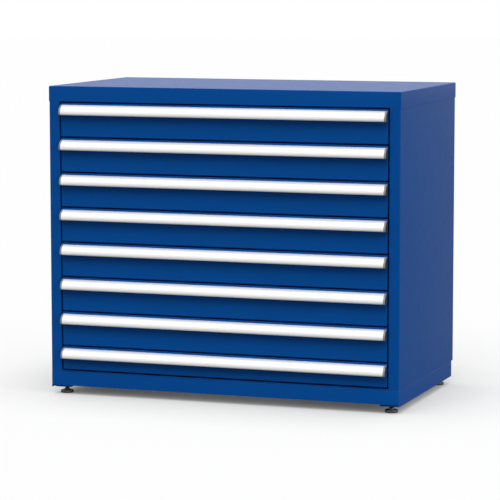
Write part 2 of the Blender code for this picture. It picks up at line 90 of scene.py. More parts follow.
# Where a local (a, b, along) goes for each axis that a shape can follow
AXIS_ORDER = {"X": (2, 0, 1), "Y": (0, 2, 1), "Z": (0, 1, 2)}


# Sizes and colours that a user can change


def length(name, description, default):
    """A length property in metres."""
    return FloatProperty(
        name=name, description=description, default=default,
        subtype="DISTANCE", unit="LENGTH", precision=4,
    )


def colour(name, description, default):
    """A linear colour property."""
    return FloatVectorProperty(
        name=name, description=description, default=default,
        subtype="COLOR", size=3, min=0, max=1,
    )


def angle(name, description, default):
    """An angle property in radians."""
    return FloatProperty(
        name=name, description=description, default=default, subtype="ANGLE", unit="ROTATION",
    )


def amount(name, description, default, **more):
    """A plain number property."""
    return FloatProperty(name=name, description=description, default=default, **more)


def count(name, description, default):
    """A whole number property."""
    return IntProperty(name=name, description=description, default=default)


class CabinetHousing(bpy.types.PropertyGroup):
    """Sheet metal of the top cap, the side panels and the rear rivets."""

    sheet: length("Sheet", "Thickness of the housing's sheet steel", 0.0015)
    bend: length("Bend radius", "Outer radius of each fold", 0.003)
    bend_steps: count("Bend steps", "Faces round each fold", 8)
    jamb: length("Jamb width", "Width of the folded front edge of a side panel", 0.0365)
    jamb_return: length("Jamb return", "How far the jamb is folded back inside", 0.018)
    rear_flange: length("Rear flange", "Width of the fold behind a side panel", 0.022)
    shelf_flange: length("Shelf flange", "Width of a side panel's top and bottom flanges", 0.045)
    inside: length("Inside", "Where the flanges begin, behind the front", 0.0198)
    lip_return: length("Lip return", "Fold under the cap's front lip", 0.014)
    stiffener: length("Stiffener width", "Width of the hat section under the cap", 0.060)
    stiffener_depth: length("Stiffener depth", "Depth of the hat section", 0.022)
    stiffener_flange: length("Stiffener flange", "Welded flange of the hat section", 0.014)
    gap: length("Gap", "Clearance between neighbouring sheets", 0.0003)
    rivet: length("Rivet radius", "Radius of a rivet head at the rear", 0.0035)
    rivet_height: length("Rivet height", "Height of a rivet head", 0.0012)
    rivet_sides: count("Rivet sides", "Faces round a rivet head", 20)
    rivet_rings: count("Rivet rings", "Rings up a rivet head", 6)
    rivets: count("Rivets", "Rivets in each rear flange", 8)


class CabinetBase(bpy.types.PropertyGroup):
    """The base frame and its corner plates."""

    sheet: length("Sheet", "Thickness of the base's sheet steel", 0.002)
    bend: length("Bend radius", "Outer radius of the rails' folds", 0.0022)
    bend_steps: count("Bend steps", "Faces round each fold", 6)
    flange: length("Flange", "Width of the flange on top of the rails", 0.026)
    lift: length("Front lift", "How far the front rail stops above the others", 0.0065)
    plate: length("Plate span", "Side of a corner plate", 0.066)
    plate_sheet: length("Plate sheet", "Thickness of a corner plate", 0.005)
    plate_corner: length("Plate corner", "Corner that is cut off a plate", 0.012)
    plate_back: length("Plate setback", "From the front rail to the front plates", 0.005)
    nut: length("Nut radius", "Radius across the corners of a weld nut", 0.012)
    nut_height: length("Nut height", "Height of a weld nut", 0.012)
    nut_corner: length("Nut corner", "Chamfer on a weld nut", 0.0012)


class CabinetFoot(bpy.types.PropertyGroup):
    """A levelling foot."""

    pad: length("Pad radius", "Radius of the foot's pad", 0.021)
    pad_height: length("Pad height", "Height of the pad's rim", 0.009)
    pad_round: length("Pad rounding", "Rounding of the pad's edges", 0.0012)
    hub: length("Hub radius", "Radius of the hub that takes the stem", 0.0085)
    hub_height: length("Hub height", "Height of the top of the hub", 0.0155)
    stem: length("Stem radius", "Outer radius of the thread", 0.006)
    thread_pitch: length("Thread pitch", "Rise of one turn of thread", 0.00175)
    thread_depth: length("Thread depth", "Depth of the thread", 0.0009)
    steps: count("Steps", "Faces round the foot", 48)


class CabinetFront(bpy.types.PropertyGroup):
    """A folded drawer front."""

    sheet: length("Sheet", "Thickness of a front's sheet steel", 0.0015)
    bend: length("Bend radius", "Outer radius of a front's folds", 0.002)
    lip: length("Lip", "Width of the return behind a front", 0.014)
    bend_steps: count("Bend steps", "Faces round each fold", 6)


class CabinetPull(bpy.types.PropertyGroup):
    """A hooded pull and its end caps."""

    wall: length("Wall", "Thickness of the extrusion", 0.002)
    drop: length("Drop", "From the pull's top edge to its nose", 0.029)
    roll: length("Roll radius", "Radius of the rolled lip", 0.005)
    leg: length("Leg", "Height of the leg against the front", 0.024)
    shoulder: length("Shoulder radius", "Rounding where the leg meets the hood", 0.0012)
    inset: length("Inset", "How far a pull stops short of its front's edge", 0.0003)
    cap: length("End cap", "Width of an end cap", 0.0062)
    cap_wall: length("End cap wall", "Thickness of an end cap's wall round the hood", 0.003)
    cap_pocket: length("End cap pocket", "How deep the middle of an end cap lies", 0.0005)
    cap_rim: length("End cap rim", "How far an end cap stands proud of the hood", 0.0006)
    cap_drop: length("End cap drop", "From the pull's top edge to the foot of a cap", 0.036)
    cap_round: length("End cap rounding", "Rounding of an end cap's outer edge", 0.0009)
    steps: count("Steps", "Faces along the hood's arc", 28)


class CabinetBox(bpy.types.PropertyGroup):
    """A drawer box with notched walls."""

    sheet: length("Sheet", "Thickness of the box's sheet steel", 0.0015)
    bend: length("Bend radius", "Outer radius of the floor's folds", 0.002)
    pitch: length("Row pitch", "Spacing of the notches for partitions", 0.1016)
    notch: length("Notch width", "Width of a notch", 0.003)
    notch_depth: length("Notch depth", "Depth of a notch", 0.020)


class CabinetSlide(bpy.types.PropertyGroup):
    """The moving members of a telescoping slide."""

    sheet: length("Sheet", "Thickness of a slide member", 0.0015)
    bend: length("Bend radius", "Outer radius of a member's folds", 0.002)
    height: length("Height", "Height of the fixed channel", 0.046)
    width: length("Width", "From the fixed channel's web to the drawer's side", 0.013)
    web_gap: length("Web gap", "Gap between the webs of two members", 0.0005)
    race: length("Race", "Gap between two members' flanges", 0.002)
    flange_gap: length("Flange gap", "Gap beyond the edge of a flange", 0.001)
    row: length("Ball row", "From the fixed channel's web to the middle of the balls", 0.007)
    ball: length("Ball radius", "Radius of a ball", 0.00085)
    ball_pitch: length("Ball pitch", "Spacing of the balls", 0.024)
    ball_sides: count("Ball sides", "Faces round a ball", 8)
    retainer: length("Retainer", "Width of the strip that holds the balls", 0.004)
    retainer_sheet: length("Retainer sheet", "Thickness of that strip", 0.0007)


class CabinetFinish(bpy.types.PropertyGroup):
    """Colours and surfaces."""

    coat: colour("Powder coat", "Colour of the painted steel", (0.0008, 0.0570, 0.2490))
    coat_rough: amount("Coat roughness", "Roughness of the powder coat", 0.34, min=0, max=1)
    coat_level: amount("Coat reflection", "Specular level of the powder coat", 0.055, min=0, max=1)
    peel: amount("Orange peel", "Strength of the powder coat's fine texture", 0.05, min=0, max=1)
    metal: colour("Aluminium", "Colour of the pulls", (0.74, 0.74, 0.745))
    metal_share: amount("Aluminium shine", "How metallic the pulls look", 0.35, min=0, max=1)
    metal_rough: amount("Aluminium roughness", "Roughness of the pulls", 0.45, min=0, max=1)
    cap: colour("End cap", "Colour of the pulls' end caps", (0.180, 0.177, 0.174))
    # Painted shade: the dark bluish sunk middle of an end cap stands for the shaded hollow under a
    # pull's hood
    cap_painted_shade: colour("End cap middle", "Colour of an end cap's sunk middle", (0.045, 0.049, 0.056))
    zinc: colour("Zinc", "Colour of the plated slides and partitions", (0.62, 0.63, 0.65))
    pad: colour("Pad", "Colour of the feet's pads", (0.034, 0.031, 0.029))
    black_steel: colour("Stem", "Colour of the blackened stems", (0.075, 0.070, 0.066))


class CabinetStage(bpy.types.PropertyGroup):
    """Camera, lamps and floor. The lamps' powers are in watts to a square metre."""

    place: FloatVectorProperty(
        name="Camera", description="Where the camera stands", size=3,
        subtype="TRANSLATION", unit="LENGTH", default=(2.7892, -7.8774, 1.4455),
    )
    yaw: angle("Yaw", "Turn of the camera to the left of +Y", 0.34187)
    pitch: angle("Pitch", "Tilt of the camera above level", -0.115536)
    roll: angle("Roll", "Turn of the camera about its own axis", -0.000706)
    lens: amount("Lens", "Focal length in millimetres on a 36 mm sensor", 178.18, min=10)
    key_power: amount("Key power", "Strength of the soft front lamp", 2.66, min=0)
    key_turn: angle("Key turn", "The front lamp's turn to the right", 0.10)
    key_rise: angle("Key rise", "The front lamp's height angle", 0.98)
    key_spread: angle("Key spread", "How wide the lamps look from the cabinet", 0.80)
    fill_power: amount("Fill power", "Strength of the soft side lamp", 1.46, min=0)
    fill_turn: angle("Fill turn", "The side lamp's turn to the right", 1.36)
    fill_rise: angle("Fill rise", "The side lamp's height angle", 0.24)
    room: amount("Room light", "Strength of the even light from all round", 0.42, min=0)
    floor_shade: amount("Floor", "Grey of the floor in the light that it returns", 0.30, min=0)
    floor_seen: amount("Seen floor", "Grey of the floor as it is seen", 0.245, min=0)
    floor_glow: amount("Floor glow", "White of the seen floor in the open", 0.66, min=0)
    floor_lift: amount("Floor lift", "White of the seen floor in its deepest shade", 0.03, min=0)
    # The floor's soft shade is painted: occlusion darkens its glow
    shadow_fade: amount("Shadow fade", "Power of the soft shade: lower is paler", 0.6, min=0.1)
    shadow_reach: length("Shadow reach", "How far the soft shade goes", 0.42)


SETTINGS = {
    "housing": CabinetHousing,
    "base": CabinetBase,
    "foot": CabinetFoot,
    "front": CabinetFront,
    "pull": CabinetPull,
    "box": CabinetBox,
    "slide": CabinetSlide,
    "finish": CabinetFinish,
    "stage": CabinetStage,
}


def settings(name):
    """One of the groups above, as the scene holds it."""
    return getattr(bpy.context.scene, f"cabinet_{name}")


# Surfaces. A shape is (points, quads, caps): an array of points, an array of four corners a
# face, and a list of arrays for the flat faces with more corners.


def unit(vectors):
    """Each row divided by its own length."""
    return vectors / np.linalg.norm(vectors, axis=-1, keepdims=True)


def folded(path, radius, steps):
    """A path in two dimensions with each inner corner turned to an arc.

    The arc's centre lies radius / sin(h) along the bisector of a corner that opens by 2 h. A
    point swings from the first touching point to the last over the angle a between them, as
    (sin((1 - t) a) first + sin(t a) last) / sin(a).
    """
    path = np.asarray(path, float)
    corner = path[1:-1]
    back = unit(path[:-2] - corner)
    ahead = unit(path[2:] - corner)
    half = np.arccos((back * ahead).sum(1, keepdims=True)) / 2
    centre = corner + unit(back + ahead) * radius / np.sin(half)
    first = corner + back * radius / np.tan(half) - centre
    last = corner + ahead * radius / np.tan(half) - centre
    swing = (np.pi - 2 * half)[:, None]
    t = np.linspace(0, 1, steps + 1)[None, :, None]
    arcs = np.sin((1 - t) * swing) * first[:, None] + np.sin(t * swing) * last[:, None]
    arcs = centre[:, None] + arcs / np.sin(swing)
    return np.concatenate([path[:1], arcs.reshape(-1, 2), path[-1:]])


def section(line, thickness):
    """The closed outline of a sheet with one face on the line and its metal to the right.

    Each point moves by (m + n) thickness / (1 + m . n), with m and n the normals of its legs.
    """
    legs = unit(np.diff(line, axis=0))
    normals = np.stack([legs[:, 1], -legs[:, 0]], 1)
    before = np.vstack([normals[:1], normals])
    after = np.vstack([normals, normals[-1:]])
    step = thickness / (1 + (before * after).sum(1, keepdims=True))
    return np.vstack([line, (line + (before + after) * step)[::-1]])


def surface(grid, ring=False):
    """A grid of points, closed across its columns, as a shape.

    Row i and column j make the quad (i, j), (i, j + 1), (i + 1, j + 1), (i + 1, j). The first
    and last rows are closed by flat faces, or joined to each other in a ring.
    """
    rows, columns = grid.shape[:2]
    index = np.arange(rows * columns).reshape(rows, columns)
    caps = [] if ring else [index[0, ::-1], index[-1]]
    index = np.hstack([index, index[:, :1]])
    if ring:
        index = np.vstack([index, index[:1]])
    corners = (index[:-1, :-1], index[:-1, 1:], index[1:, 1:], index[1:, :-1])
    return grid.reshape(-1, 3), np.stack(corners, -1).reshape(-1, 4), caps


def lofted(outlines, levels, axis, ring=False):
    """Closed outlines joined to a shape, each at its own level along an axis."""
    grid = np.empty((len(levels), outlines.shape[-2], 3))
    grid[..., :2] = outlines
    grid[..., 2] = np.asarray(levels, float)[:, None]
    return surface(grid[..., AXIS_ORDER[axis]], ring)


def extruded(outline, axis, levels):
    """A closed outline carried along an axis."""
    return lofted(np.asarray(outline, float), levels, axis)


def turned(profile, steps, place=(0, 0, 0), axis="Z"):
    """A profile of (radius, height) spun round an axis: (r cos a, r sin a, height)."""
    profile = np.asarray(profile, float)
    turn = np.linspace(0, 2 * np.pi, steps, endpoint=False)
    circle = np.stack([np.cos(turn), np.sin(turn)], 1)
    shape = lofted(profile[:, :1, None] * circle, profile[:, 1], axis)
    return repeated(shape, [place])


def threaded(radius, depth, pitch, low, high, steps, place):
    """A screw thread.

    The radius falls by depth times a triangle wave of z / pitch - a / 2 pi, whose tips are cut
    flat at the crest and at the root.
    """
    rows_per_turn = 6
    rows = 1 + rows_per_turn * math.ceil((high - low) / pitch)
    height = np.linspace(low, high, rows)
    turn = np.linspace(0, 2 * np.pi, steps, endpoint=False)
    phase = (height[:, None] / pitch - turn / (2 * np.pi)) % 1
    wave = np.clip(np.abs(2 * phase - 1) * 1.5 - 0.25, 0, 1)
    circle = np.stack([np.cos(turn), np.sin(turn)], 1)
    shape = lofted((radius - depth * wave)[..., None] * circle, height, "Z")
    return repeated(shape, [place])


def rounded_loop(half, radius, inset, steps):
    """Rectangles with rounded corners, one for each inset, in the plane.

    A corner's arc has radius r = max(radius - inset, least) about half - inset - r, and its
    points are centre + r (cos a, sin a), a quarter turn for each corner.
    """
    least = radius / 10
    inset = np.asarray(inset, float)[:, None]
    r = np.maximum(radius - inset, least)
    quarter = np.linspace(0, np.pi / 2, steps + 1)
    turn = (np.arange(-1, 3)[:, None] * np.pi / 2 + quarter).ravel()
    across = np.repeat([1, 1, -1, -1], steps + 1)
    along = np.repeat([-1, 1, 1, -1], steps + 1)
    x = across * (half[0] - inset - r) + r * np.cos(turn)
    y = along * (half[1] - inset - r) + r * np.sin(turn)
    return np.stack([x, y], -1)


def pan(low, high, profile, radius, steps, axis="Z", ring=False):
    """A profile of (inset, level) carried round a rectangle with rounded corners.

    low and high are the rectangle's corners in the plane across the axis, and level is the
    place along the axis.
    """
    profile = np.asarray(profile, float)
    low, high = np.asarray(low, float), np.asarray(high, float)
    loops = rounded_loop((high - low) / 2, radius, profile[:, 0], steps)
    return lofted(loops + (low + high) / 2, profile[:, 1], axis, ring)


def pillow(outline, axis, start, end, rounding, steps=5):
    """A plate whose outer face is rounded into its edge.

    At angle a the outline stands rounding (1 - cos a) inwards and rounding (1 - sin a) before
    the end, with a from 0 at the edge to 90 degrees at the face.
    """
    outline = np.asarray(outline, float)
    legs = unit(np.roll(outline, -1, 0) - outline)
    area = np.cross(outline, np.roll(outline, -1, 0)).sum()
    normals = np.sign(area) * np.stack([-legs[:, 1], legs[:, 0]], 1)
    before = np.roll(normals, 1, 0)
    inward = (before + normals) / (1 + (before * normals).sum(1, keepdims=True))
    turn = np.linspace(0, np.pi / 2, steps + 1)
    depth = np.append(0, rounding * (1 - np.cos(turn)))
    levels = np.append(start, end - np.sign(end - start) * rounding * (1 - np.sin(turn)))
    return lofted(outline + depth[:, None, None] * inward, levels, axis)


def repeated(shape, places):
    """Copies of a shape, one moved to each place."""
    points, quads, caps = shape
    places = np.asarray(places, float)
    offset = len(points) * np.arange(len(places))
    grown = (places[:, None] + points).reshape(-1, 3)
    faces = (offset[:, None, None] + quads).reshape(-1, 4)
    return grown, faces, [cap + start for start in offset for cap in caps]


def gathered(shapes):
    """Several shapes as one."""
    starts = np.cumsum([0] + [len(points) for points, _, _ in shapes])
    points = np.concatenate([points for points, _, _ in shapes])
    quads = np.concatenate([quads + start for (_, quads, _), start in zip(shapes, starts)])
    caps = [cap + start for (_, _, own), start in zip(shapes, starts) for cap in own]
    return points, quads, caps


def meshed(name, points, quads, caps):
    """A shape as a mesh."""
    mesh = bpy.data.meshes.new(name)
    mesh.from_pydata(points.tolist(), [], quads.tolist() + [cap.tolist() for cap in caps])
    return mesh


def added(name, data):
    """A new object in the scene."""
    made = bpy.data.objects.new(name, data)
    bpy.context.scene.collection.objects.link(made)
    return made


def piece(name, shapes, body, finish, replaces=()):
    """Shapes as one object with its faces outwards, riding on a CAD body."""
    mesh = meshed(name, *gathered(shapes))
    bm = bmesh.new()
    bm.from_mesh(mesh)
    bmesh.ops.recalc_face_normals(bm, faces=bm.faces)
    bm.to_mesh(mesh)
    bm.free()
    mesh.shade_smooth()
    mesh.set_sharp_from_angle(angle=SMOOTH_ANGLE)
    mesh.materials.append(material(finish))
    made = added(name, mesh)
    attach(made, body)
    if replaces:
        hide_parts(*replaces)


# Finishes


class Nodes:
    """The node tree of a material or world, and short ways to fill it."""

    def __init__(self, owner, empty=True):
        owner.use_nodes = True
        self.tree = owner.node_tree
        if empty:
            self.tree.nodes.clear()

    def feed(self, socket, value):
        """Set a value on a socket, or link it there."""
        if isinstance(value, bpy.types.NodeSocket):
            self.tree.links.new(value, socket)
        else:
            socket.default_value = value

    def node(self, kind, inputs=None, **options):
        """A node with these options, and with each input set or linked."""
        made = self.tree.nodes.new(kind)
        for name, value in options.items():
            setattr(made, name, value)
        for name, value in (inputs or {}).items():
            self.feed(made.inputs[name], value)
        return made

    def maths(self, operation, *values, clamp=False):
        """The result of a sum with these values or links."""
        inputs = dict(enumerate(values))
        made = self.node("ShaderNodeMath", inputs, operation=operation, use_clamp=clamp)
        return made.outputs[0]

    def seen_rays(self, path):
        """1 for what is seen or seen in a reflection, 0 for the rays that only light things."""
        glossy, through = path["Is Glossy Ray"], path["Is Transmission Ray"]
        total = self.maths("MAXIMUM", glossy, through, clamp=True)
        total = self.maths("SUBTRACT", total, path["Diffuse Depth"], clamp=True)
        return self.maths("MAXIMUM", total, path["Is Camera Ray"], clamp=True)

    def choose(self, output, factor, first, second):
        """The output: the first shader where the factor is 0, and the second where it is 1."""
        shaders = {"Fac": factor, 1: first.outputs[0], 2: second.outputs[0]}
        mix = self.node("ShaderNodeMixShader", shaders)
        self.node(output, {"Surface": mix.outputs[0]})


class Recipe(Nodes):
    """A new node material with its Principled shader."""

    def __init__(self, name):
        self.material = bpy.data.materials.new(name)
        super().__init__(self.material, empty=False)
        self.shader = self.tree.nodes["Principled BSDF"]
        self.place = self.node("ShaderNodeTexCoord").outputs["Object"]

    def stretched(self, scale):
        """The object's own coordinates, multiplied by a scale along each axis."""
        return self.node("ShaderNodeMapping", {"Vector": self.place, "Scale": scale}).outputs[0]

    def noise(self, scale, detail, where=None, roughness=0.5):
        """Noise with so many waves to a metre."""
        inputs = {
            "Vector": where or self.place, "Scale": scale,
            "Detail": detail, "Roughness": roughness,
        }
        return self.node("ShaderNodeTexNoise", inputs).outputs["Fac"]

    def spread(self, value, low, high, start=0.3, end=0.7):
        """A value's usual range, stretched to run from low to high."""
        inputs = {
            "Value": value, "From Min": start, "From Max": end, "To Min": low, "To Max": high,
        }
        return self.node("ShaderNodeMapRange", inputs).outputs["Result"]

    def tint(self, factor, rgb, first, second):
        """The base colour: a colour between two tones of one, by a factor."""
        inputs = {"Factor": factor, "A": toned(rgb, first), "B": toned(rgb, second)}
        made = self.node("ShaderNodeMix", inputs, data_type="RGBA")
        # The colour output is the one of four numbers
        self.set("Base Color", next(out for out in made.outputs if out.type == "RGBA"))

    def bump(self, height, strength, depth=GRAIN_DEPTH):
        """Relief from a height."""
        inputs = {"Height": height, "Strength": strength, "Distance": depth}
        self.set("Normal", self.node("ShaderNodeBump", inputs).outputs["Normal"])

    def set(self, name, value):
        """A number on the shader's own socket, or a link to it."""
        self.feed(self.shader.inputs[name], value)


def toned(rgb, factor):
    """A colour as a socket takes it, lighter or darker by a factor."""
    return (*(min(1.0, part * factor) for part in rgb), 1)


def grey(level):
    """An even grey as a socket takes it."""
    return (level, level, level, 1)


def powder_coat(recipe, values):
    """Baked powder coat: fine orange peel, faint clouds of tone and a broken sheen."""
    recipe.tint(recipe.noise(4.5, 3), values.coat, 0.94, 1.06)
    sheen = recipe.noise(38, 4)
    rough = values.coat_rough
    recipe.set("Roughness", recipe.spread(sheen, rough - 0.02, rough + 0.02))
    recipe.set("Specular IOR Level", values.coat_level)
    recipe.bump(recipe.noise(420, 3), values.peel, PEEL_DEPTH)


def anodised(recipe, values):
    """Satin anodised extrusion: die lines along its length over a fine blasted grain."""
    lines = recipe.noise(1, 3, recipe.stretched((1.5, 1400, 1400)))
    grain = recipe.noise(900, 2)
    recipe.tint(lines, values.metal, 0.965, 1)
    recipe.set("Metallic", values.metal_share)
    rough = values.metal_rough
    recipe.set("Roughness", recipe.spread(lines, rough - 0.05, rough + 0.06))
    recipe.bump(grain, 0.08)


def moulded_grey(recipe, values):
    """Grey moulded plastic with a fine spark-eroded grain."""
    recipe.tint(recipe.noise(60, 3), values.cap, 0.93, 1.07)
    recipe.set("Roughness", recipe.spread(recipe.noise(300, 2), 0.42, 0.54))
    recipe.bump(recipe.noise(1600, 2), 0.12)


def painted_shade_plastic(recipe, values):
    """Painted shade: a dark bluish colour with a matt grain, standing for the shaded hollow under
    the end of a pull's hood.
    """
    recipe.tint(recipe.noise(60, 3), values.cap_painted_shade, 0.9, 1.1)
    recipe.set("Roughness", recipe.spread(recipe.noise(300, 2), 0.55, 0.68))
    recipe.set("Specular IOR Level", 0.15)
    recipe.bump(recipe.noise(1600, 2), 0.12)


def zinc_plate(recipe, values):
    """Bright zinc plate: drawn along Y, with small crystals of slightly different tone."""
    crystals = recipe.node(
        "ShaderNodeTexVoronoi", {"Vector": recipe.place, "Scale": 160.0}
    ).outputs["Distance"]
    drawn = recipe.noise(1, 3, recipe.stretched((700, 3, 700)))
    recipe.tint(crystals, values.zinc, 1.05, 0.86)
    recipe.set("Metallic", 1.0)
    recipe.set("Roughness", recipe.spread(drawn, 0.30, 0.46))
    recipe.bump(drawn, 0.06)


def scuffed_black(recipe, values):
    """Black moulded plastic with scuffed high spots."""
    scuffs = recipe.noise(220, 5, roughness=0.65)
    recipe.tint(scuffs, values.pad, 0.7, 1.8)
    recipe.set("Roughness", recipe.spread(scuffs, 0.26, 0.44))
    recipe.set("Specular IOR Level", 1.0)
    recipe.bump(recipe.noise(1300, 3), 0.2)


def blackened_steel(recipe, values):
    """Oiled black steel, worn a little brighter in patches."""
    wear = recipe.noise(500, 4, roughness=0.6)
    recipe.tint(wear, values.black_steel, 0.6, 2.2)
    recipe.set("Metallic", 1.0)
    recipe.set("Roughness", recipe.spread(wear, 0.28, 0.48))
    recipe.bump(wear, 0.1)


FINISHES = {
    "blue_powder_coat": powder_coat,
    "satin_aluminium": anodised,
    "grey_end_cap": moulded_grey,
    # Painted shade for the hollow ends of the pulls
    "painted_shade_end_cap": painted_shade_plastic,
    "zinc_plated_steel": zinc_plate,
    "black_pad": scuffed_black,
    "blackened_steel": blackened_steel,
}


def material(name):
    """The node material of that finish, made once."""
    key = f"{name}_finish"
    found = bpy.data.materials.get(key)
    if found:
        return found
    recipe = Recipe(key)
    FINISHES[name](recipe, settings("finish"))
    return recipe.material


# Outlines that more than one piece uses


def bent_sheet(path, s, turn=1):
    """The outline of a sheet folded along a path: its metal is on the right, or left for -1."""
    return section(folded(path, s.bend, s.bend_steps), turn * s.sheet)


def channel(half_height, back, lips, sheet, bend):
    """The outline of a slide member, as (distance from the fixed channel's web, height)."""
    path = [(lips, half_height), (back, half_height), (back, -half_height), (lips, -half_height)]
    return section(folded(path, bend, FOLD_STEPS), sheet if back > lips else -sheet)


def hood_line(run, drop, roll, steps):
    """The pull's outer face in (y, z), from its top edge at (0, 0).

    An arc of radius (run^2 + drop^2) / (2 run) falls to the nose, where it is upright, and a
    quarter circle of the roll's radius turns in under it.
    """
    radius = (run * run + drop * drop) / (2 * run)
    start = math.atan2(drop, run - radius)
    arc = np.linspace(start, np.pi, steps + 1)
    lip = np.linspace(np.pi, 1.5 * np.pi, steps // 3 + 1)[1:]
    hood = np.stack([radius * (1 + np.cos(arc)) - run, radius * np.sin(arc) - drop], 1)
    edge = np.stack([roll * (1 + np.cos(lip)) - run, roll * np.sin(lip) - drop], 1)
    return np.vstack([hood, edge])


def grown_hood(run, rim, s):
    """The pull's outer face, moved outwards by a rim, or inwards by a negative one."""
    line = hood_line(run + rim, s.drop + rim, s.roll + rim, s.steps)
    return line + (0, rim)


def slide_section(outline, web, level, side):
    """A slide member's outline in (x, z), with x counted inwards from its channel's web."""
    return np.stack([side * (web - outline[:, 0]), level + outline[:, 1]], 1)


# The pieces


class CabinetOperator(bpy.types.Operator):
    """Shared ground of the operators that make pieces."""

    bl_options = {"REGISTER", "UNDO"}

    def execute(self, context):
        self.make()
        return {"FINISHED"}


class CABINET_OT_top_cap(CabinetOperator):
    """Make the drop-on lid with its lips, the fold under its front and its stiffener"""

    bl_idname = "cabinet.top_cap"
    bl_label = "Top Cap"

    def make(self):
        s = settings("housing")
        low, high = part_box("top_cap")
        flat = 3 * s.bend
        rim = bent_sheet([(flat, high.z), (0, high.z), (0, low.z)], s, -1)
        lid = pan(low.xy, high.xy, rim, s.bend, s.bend_steps)
        start, end = low.y + s.sheet / 2, low.y + s.lip_return
        fold = [(start, low.z + 2 * s.bend), (start, low.z), (end, low.z)]
        half = high.x - 2 * s.sheet
        under = extruded(bent_sheet(fold, s, -1), "X", [-half, half])
        middle, crown = (low.y + high.y) / 2, high.z - s.sheet
        front, rear = middle - s.stiffener / 2, middle + s.stiffener / 2
        flange, web = crown - s.sheet, crown - s.stiffener_depth
        hat = [
            (rear + s.stiffener_flange, flange), (rear, flange), (rear, web),
            (front, web), (front, flange), (front - s.stiffener_flange, flange),
        ]
        hat = section(folded(hat, 2 * s.sheet, HIDDEN_FOLD_STEPS), s.sheet)
        reach = high.x - s.shelf_flange - 2 * s.bend
        rib = extruded(hat, "X", [-reach, reach])
        piece("top_cap_shell", [lid, under, rib], "cabinet", "blue_powder_coat",
              ["top_cap"])


class CABINET_OT_side_panels(CabinetOperator):
    """Make both side panels, each folded from one sheet round its jamb and its rear edge"""

    bl_idname = "cabinet.side_panels"
    bl_label = "Side Panels"

    def make(self):
        s = settings("housing")
        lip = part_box("top_cap")[0].z - s.gap
        for name, side in SIDES:
            low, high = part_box(f"{name}_side_panel")
            outer = max(abs(low.x), abs(high.x))
            jamb = outer - s.jamb
            rear = (outer - s.rear_flange, high.y)
            front = [(jamb, low.y + s.jamb_return), (jamb, low.y), (outer, low.y)]
            whole = front + [(outer, high.y), rear]
            upper = [(outer, low.y + s.inside), (outer, high.y), rear]
            shapes = []
            for path, stations in ((whole, (low.z, lip)), (upper, (lip, high.z))):
                outline = bent_sheet(path, s, -1) * (side, 1)
                shapes.append(extruded(outline, "Z", stations))
            inner = outer - s.shelf_flange
            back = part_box("bottom_pan")[1].y
            edge = outer - s.sheet / 2
            bottom = (low.z, 1, low.y + s.sheet + s.gap)
            top = (high.z, -1, low.y + s.inside)
            for level, turn, start in (bottom, top):
                fold = [(edge, level + turn * 2 * s.bend), (edge, level), (inner, level)]
                outline = bent_sheet(fold, s, turn) * (side, 1)
                shapes.append(extruded(outline, "Y", (start, back)))
            piece(f"{name}_side_shell", shapes, "cabinet", "blue_powder_coat",
                  [f"{name}_side_panel"])


class CABINET_OT_rear_rivets(CabinetOperator):
    """Make the painted rivets that hold the back panel to the side panels' rear flanges"""

    bl_idname = "cabinet.rear_rivets"
    bl_label = "Rear Rivets"

    def make(self):
        s = settings("housing")
        low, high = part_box("right_side_panel")
        across = high.x - s.rear_flange / 2
        rise = np.linspace(low.z + s.shelf_flange, high.z - 1.5 * s.shelf_flange, s.rivets)
        places = np.array([(side * across, high.y, z) for _, side in SIDES for z in rise])
        # The dome stops a little before its pole, at a small flat crown
        turn = np.linspace(0, 0.42 * np.pi, s.rivet_rings)
        dome = np.stack([s.rivet * np.cos(turn), s.rivet_height * np.sin(turn)], 1)
        dome = np.vstack([[(s.rivet, -s.gap)], dome])
        heads = repeated(turned(dome, s.rivet_sides, axis="Y"), places)
        piece("rear_rivets", [heads], "cabinet", "blue_powder_coat")


class CABINET_OT_base_frame(CabinetOperator):
    """Make the base: flanged rails, the lifted front rail, corner plates and weld nuts"""

    bl_idname = "cabinet.base_frame"
    bl_label = "Base Frame"

    def make(self):
        s = settings("base")
        low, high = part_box("base_frame")
        sill = low.z + s.lift
        rails = bent_sheet([(0, sill), (0, high.z), (s.flange, high.z)], s)
        shapes = [pan(low.xy, high.xy, rails, s.bend, s.bend_steps, ring=True)]
        front = low.y + s.bend / 2
        skirt = [(low.x, front), (low.x, high.y), (high.x, high.y), (high.x, front)]
        shapes.append(extruded(bent_sheet(skirt, s), "Z", (low.z, sill)))
        nuts = []
        for foot in FEET:
            least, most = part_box(foot)
            x, y = (least.x + most.x) / 2, (least.y + most.y) / 2
            across, along = math.copysign(1, x), math.copysign(1, y)
            edge_x = across * (high.x - s.sheet)
            edge_y = high.y - s.sheet if along > 0 else low.y + s.sheet + s.plate_back
            far_x = across * (high.x - s.plate)
            far_y = high.y - s.sheet - s.plate if along > 0 else low.y + s.sheet + s.plate
            outline = [
                (edge_x - across * s.plate_corner, edge_y),
                (edge_x, edge_y - along * s.plate_corner),
                (edge_x, far_y), (far_x, far_y), (far_x, edge_y),
            ]
            top = low.z + s.plate_sheet
            shapes.append(extruded(outline, "Z", (low.z, top)))
            c = s.nut_corner
            tall = s.nut_height
            profile = [(s.nut - c, 0), (s.nut, c), (s.nut, tall - c), (s.nut - c, tall)]
            nuts.append(turned(profile, NUT_SIDES, (x, y, top)))
        piece("base_rails", shapes, "cabinet", "blue_powder_coat",
              ["base_frame"])
        piece("weld_nuts", nuts, "cabinet", "zinc_plated_steel")


